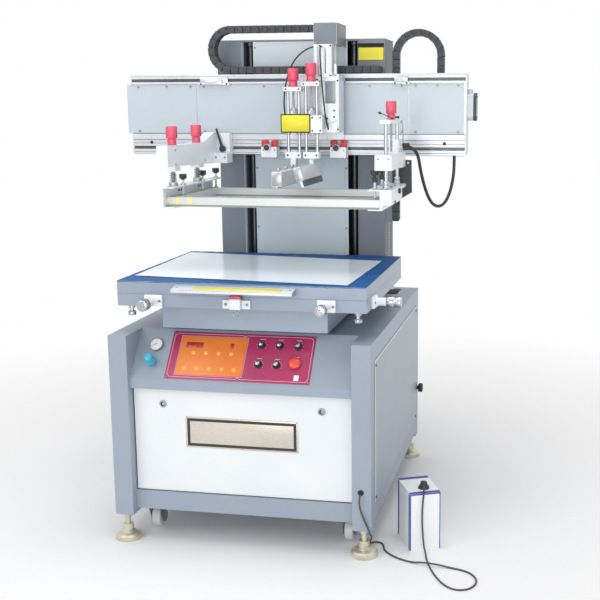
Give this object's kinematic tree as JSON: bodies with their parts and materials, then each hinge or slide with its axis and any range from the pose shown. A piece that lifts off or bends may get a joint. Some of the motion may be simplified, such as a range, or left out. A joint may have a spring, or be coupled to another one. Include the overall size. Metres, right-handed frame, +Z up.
{
  "type": "flat-bed screen printing machine",
  "caption": "Vertical-lift flat-bed screen printing machine: cabinet on feet and casters, adjustable table, lifting beam with screen clamps, squeegee and flood carriage.",
  "frame": {"origin": "on the floor under the middle of the machine's overall box, foot switch and its cord left out", "axes": "+X to the operator's right along the beam, +Y to the rear, +Z up"},
  "size_m": [1.4991, 1.2682, 1.795],
  "materials": {
    "blue_grey_paint": "satin",
    "white_panel": "satin",
    "control_plate": "satin",
    "black_plastic": "matt",
    "red_plastic": "gloss",
    "cyan_plastic": "gloss",
    "chrome": "polished",
    "zinc_feet": "satin",
    "caster_grey": "satin",
    "wheel_white": "matt",
    "table_aluminium": "satin",
    "table_grey": "satin",
    "pedestal_paint": "satin",
    "column_grey": "satin",
    "cover_blue": "satin",
    "beam_aluminium": "satin",
    "light_metal": "satin",
    "red_anodised": "satin",
    "screen_ivory": "satin",
    "mesh_fabric": "woven",
    "black_rubber": "matt",
    "carton": "matt"
  },
  "bodies": {
    "cabinet": {"cabinet_frame": "blue_grey_paint", "cabinet_panels": "blue_grey_paint", "console_panel": "blue_grey_paint", "control_panel": "control_plate", "caster_forks_rear": "caster_grey", "table_pedestal": "pedestal_paint", "column_frame": "column_grey", "column_cover": "cover_blue", "foot_switch_box": "carton", "foot_switch_cord": "black_rubber"},
    "cross_slide": {"cross_slide": "table_grey"},
    "table": {"table_top": "table_aluminium"},
    "lock_pin": {"table_lock_pin": "chrome"},
    "knob_left": {"table_knob_left": "chrome"},
    "knob_right": {"table_knob_right": "chrome"},
    "knob_side": {"table_knob_side": "chrome"},
    "front_panel": {"front_panel": "white_panel"},
    "cam_left": {"cam_lock_left": "chrome"},
    "cam_right": {"cam_lock_right": "chrome"},
    "stop_button": {"stop_button": "red_plastic"},
    "regulator": {"regulator_knob": "cyan_plastic"},
    "head": {"beam": "beam_aluminium", "beam_cover": "cover_blue", "arm_hose": "black_rubber"},
    "left_arm": {"left_arm": "light_metal"},
    "lever": {"clamp_lever": "black_plastic"},
    "left_knob_front": {"left_height_knob_front": "red_anodised"},
    "left_knob_rear": {"left_height_knob_rear": "red_anodised"},
    "left_channel": {"left_channel": "light_metal"},
    "screen": {"screen_frame": "screen_ivory", "screen_mesh": "mesh_fabric"},
    "right_arm": {"right_arm": "light_metal"},
    "right_channel": {"right_channel": "light_metal"},
    "right_knob": {"right_height_knob": "red_anodised"},
    "carriage": {"carriage": "light_metal", "carriage_hoses": "black_rubber"},
    "flood": {"flood_unit": "light_metal"},
    "squeegee": {"squeegee_unit": "light_metal"},
    "holder": {"squeegee_holder": "light_metal"},
    "flood_knob": {"flood_knob": "red_anodised"},
    "squeegee_knob": {"squeegee_knob": "red_anodised"},
    "left_stop": {"left_limit_stop": "light_metal"},
    "right_stop": {"right_limit_stop": "light_metal"},
    "beam_chain": {"beam_chain": "black_plastic"},
    "lift_chain": {"lift_chain": "black_plastic"},
    "foot_front_left": {"foot_front_left": "zinc_feet"},
    "wheel_front_left": {"caster_wheel_front_left": "wheel_white"},
    "foot_front_right": {"foot_front_right": "zinc_feet"},
    "wheel_front_right": {"caster_wheel_front_right": "wheel_white"},
    "foot_rear_left": {"foot_rear_left": "zinc_feet"},
    "wheel_rear_left": {"caster_wheel_rear_left": "wheel_white"},
    "foot_rear_right": {"foot_rear_right": "zinc_feet"},
    "wheel_rear_right": {"caster_wheel_rear_right": "wheel_white"},
    "fork_front_left": {"caster_fork_front_left": "caster_grey"},
    "fork_front_right": {"caster_fork_front_right": "caster_grey"},
    "switch_1": {"console_knob_1": "black_plastic"},
    "switch_2": {"console_knob_2": "black_plastic"},
    "switch_3": {"console_knob_3": "black_plastic"},
    "switch_4": {"console_knob_4": "black_plastic"},
    "switch_5": {"console_knob_5": "black_plastic"}
  },
  "joints": [
    {"name": "foot_front_left_slide", "type": "slide", "parent": "cabinet", "child": "foot_front_left", "axis": [0, 0, 1], "range_m": [-0.02, 0]},
    {"name": "foot_front_right_slide", "type": "slide", "parent": "cabinet", "child": "foot_front_right", "axis": [0, 0, 1], "range_m": [-0.02, 0]},
    {"name": "foot_rear_left_slide", "type": "slide", "parent": "cabinet", "child": "foot_rear_left", "axis": [0, 0, 1], "range_m": [-0.02, 0]},
    {"name": "foot_rear_right_slide", "type": "slide", "parent": "cabinet", "child": "foot_rear_right", "axis": [0, 0, 1], "range_m": [-0.02, 0]},
    {"name": "fork_left_swivel", "type": "hinge", "parent": "cabinet", "child": "fork_front_left", "pos_m": [-0.35, -0.394, 0.15], "axis": [0, 0, 1], "continuous": true},
    {"name": "wheel_front_left_spin", "type": "hinge", "parent": "fork_front_left", "child": "wheel_front_left", "pos_m": [-0.35, -0.37, 0.045], "axis": [1, 0, 0], "continuous": true},
    {"name": "wheel_rear_left_spin", "type": "hinge", "parent": "cabinet", "child": "wheel_rear_left", "pos_m": [-0.35, 0.45, 0.045], "axis": [1, 0, 0], "continuous": true},
    {"name": "fork_right_swivel", "type": "hinge", "parent": "cabinet", "child": "fork_front_right", "pos_m": [0.35, -0.394, 0.15], "axis": [0, 0, 1], "continuous": true},
    {"name": "wheel_front_right_spin", "type": "hinge", "parent": "fork_front_right", "child": "wheel_front_right", "pos_m": [0.35, -0.37, 0.045], "axis": [1, 0, 0], "continuous": true},
    {"name": "wheel_rear_right_spin", "type": "hinge", "parent": "cabinet", "child": "wheel_rear_right", "pos_m": [0.35, 0.45, 0.045], "axis": [1, 0, 0], "continuous": true},
    {"name": "front_panel_tilt", "type": "hinge", "parent": "cabinet", "child": "front_panel", "pos_m": [0, -0.468, 0.187], "axis": [1, 0, 0], "range_deg": [0, 35]},
    {"name": "cam_left_turn", "type": "hinge", "parent": "front_panel", "child": "cam_left", "pos_m": [-0.277, -0.474, 0.49], "axis": [0, 1, 0], "range_deg": [0, 90]},
    {"name": "cam_right_turn", "type": "hinge", "parent": "front_panel", "child": "cam_right", "pos_m": [0.277, -0.474, 0.49], "axis": [0, 1, 0], "range_deg": [0, 90]},
    {"name": "switch_1_turn", "type": "hinge", "parent": "cabinet", "child": "switch_1", "pos_m": [0.056, -0.40673, 0.69097], "axis": [0, -0.7719, 0.6357], "range_deg": [-150, 150]},
    {"name": "switch_2_turn", "type": "hinge", "parent": "cabinet", "child": "switch_2", "pos_m": [0.12, -0.40673, 0.69097], "axis": [0, -0.7719, 0.6357], "range_deg": [-150, 150]},
    {"name": "switch_3_turn", "type": "hinge", "parent": "cabinet", "child": "switch_3", "pos_m": [0.184, -0.40673, 0.69097], "axis": [0, -0.7719, 0.6357], "range_deg": [-150, 150]},
    {"name": "switch_4_turn", "type": "hinge", "parent": "cabinet", "child": "switch_4", "pos_m": [0.056, -0.4525, 0.63539], "axis": [0, -0.7719, 0.6357], "range_deg": [-45, 45]},
    {"name": "switch_5_turn", "type": "hinge", "parent": "cabinet", "child": "switch_5", "pos_m": [0.119, -0.4525, 0.63539], "axis": [0, -0.7719, 0.6357], "range_deg": [-45, 45]},
    {"name": "stop_press", "type": "slide", "parent": "cabinet", "child": "stop_button", "axis": [0, -0.7719, 0.6357], "range_m": [-0.005, 0], "stiffness_N_per_m": 400, "springref_m": 0.004},
    {"name": "regulator_turn", "type": "hinge", "parent": "cabinet", "child": "regulator", "pos_m": [-0.318, -0.45604, 0.62795], "axis": [0, -0.7719, 0.6357], "range_deg": [-180, 180]},
    {"name": "table_y", "type": "slide", "parent": "cabinet", "child": "cross_slide", "axis": [0, 1, 0], "range_m": [-0.008, 0.008]},
    {"name": "table_x", "type": "slide", "parent": "cross_slide", "child": "table", "axis": [1, 0, 0], "range_m": [-0.008, 0.008]},
    {"name": "knob_left_turn", "type": "hinge", "parent": "cabinet", "child": "knob_left", "pos_m": [-0.297, -0.538, 0.847], "axis": [0, 1, 0], "range_deg": [-961, 961]},
    {"name": "knob_right_turn", "type": "hinge", "parent": "cabinet", "child": "knob_right", "pos_m": [0.297, -0.538, 0.847], "axis": [0, 1, 0], "range_deg": [-961, 961]},
    {"name": "knob_side_turn", "type": "hinge", "parent": "cabinet", "child": "knob_side", "pos_m": [0.476, -0.362, 0.847], "axis": [1, 0, 0], "range_deg": [-961, 961]},
    {"name": "lock_pin_lift", "type": "slide", "parent": "cabinet", "child": "lock_pin", "axis": [0, 0, 1], "range_m": [0, 0.003]},
    {"name": "lift", "type": "slide", "parent": "cabinet", "child": "head", "axis": [0, 0, 1], "range_m": [-0.215, 0]},
    {"name": "left_arm_slide", "type": "slide", "parent": "head", "child": "left_arm", "axis": [1, 0, 0], "range_m": [-0.05, 0]},
    {"name": "lever_turn", "type": "hinge", "parent": "left_arm", "child": "lever", "pos_m": [-0.277, 0.228, 1.322], "axis": [0, 1, 0], "range_deg": [0, 95]},
    {"name": "screen_height", "type": "slide", "parent": "left_arm", "child": "left_channel", "axis": [0, 0, 1], "range_m": [-0.003, 0.003]},
    {"name": "left_knob_front_turn", "type": "hinge", "parent": "left_arm", "child": "left_knob_front", "pos_m": [-0.323, -0.192, 1.352], "axis": [0, 0, 1], "range_deg": [-541, 541]},
    {"name": "left_knob_rear_turn", "type": "hinge", "parent": "left_arm", "child": "left_knob_rear", "pos_m": [-0.323, 0.053, 1.352], "axis": [0, 0, 1], "range_deg": [-541, 541]},
    {"name": "screen_slide", "type": "slide", "parent": "left_channel", "child": "screen", "axis": [0, 1, 0], "range_m": [-0.5, 0]},
    {"name": "right_arm_slide", "type": "slide", "parent": "head", "child": "right_arm", "axis": [1, 0, 0], "range_m": [0, 0.05], "deforming": ["arm_hose"]},
    {"name": "right_channel_height", "type": "slide", "parent": "right_arm", "child": "right_channel", "axis": [0, 0, 1], "range_m": [-0.003, 0.003]},
    {"name": "right_knob_turn", "type": "hinge", "parent": "right_channel", "child": "right_knob", "pos_m": [0.44, -0.062, 1.44], "axis": [0, 0, 1], "range_deg": [-541, 541]},
    {"name": "print_stroke", "type": "slide", "parent": "head", "child": "carriage", "axis": [1, 0, 0], "range_m": [-0.2, 0.19]},
    {"name": "flood_drop", "type": "slide", "parent": "carriage", "child": "flood", "axis": [0, 0, 1], "range_m": [-0.054, 0]},
    {"name": "squeegee_drop", "type": "slide", "parent": "carriage", "child": "squeegee", "axis": [0, 0, 1], "range_m": [-0.054, 0]},
    {"name": "squeegee_tilt", "type": "hinge", "parent": "squeegee", "child": "holder", "pos_m": [0.103, 0.138, 1.282], "axis": [0, 1, 0], "range_deg": [-8, 8]},
    {"name": "flood_knob_turn", "type": "hinge", "parent": "flood", "child": "flood_knob", "pos_m": [0.034, 0.138, 1.558], "axis": [0, 0, 1], "range_deg": [-360, 360]},
    {"name": "squeegee_knob_turn", "type": "hinge", "parent": "squeegee", "child": "squeegee_knob", "pos_m": [0.103, 0.138, 1.577], "axis": [0, 0, 1], "range_deg": [-360, 360]},
    {"name": "left_stop_slide", "type": "slide", "parent": "head", "child": "left_stop", "axis": [1, 0, 0], "range_m": [-0.1, 0.1]},
    {"name": "right_stop_slide", "type": "slide", "parent": "head", "child": "right_stop", "axis": [1, 0, 0], "range_m": [-0.1, 0.12]},
    {"name": "beam_chain_slide", "type": "slide", "parent": "head", "child": "beam_chain", "axis": [1, 0, 0], "range_m": [-0.1, 0.095], "deforming": ["beam_chain"]},
    {"name": "lift_chain_slide", "type": "slide", "parent": "cabinet", "child": "lift_chain", "axis": [0, 0, 1], "range_m": [-0.1075, 0], "deforming": ["lift_chain"]}
  ],
  "couplings": [
    {"joint": "knob_left_turn", "follows": "table_y", "rad_per_m": 2094.4},
    {"joint": "knob_right_turn", "follows": "table_y", "rad_per_m": 2094.4},
    {"joint": "knob_side_turn", "follows": "table_x", "rad_per_m": 2094.4},
    {"joint": "left_knob_front_turn", "follows": "screen_height", "rad_per_m": 3141.6},
    {"joint": "left_knob_rear_turn", "follows": "screen_height", "rad_per_m": 3141.6},
    {"joint": "right_channel_height", "follows": "screen_height", "ratio": 1},
    {"joint": "right_knob_turn", "follows": "screen_height", "rad_per_m": 3141.6},
    {"joint": "beam_chain_slide", "follows": "print_stroke", "ratio": 0.5},
    {"joint": "lift_chain_slide", "follows": "lift", "ratio": 0.5}
  ]
}
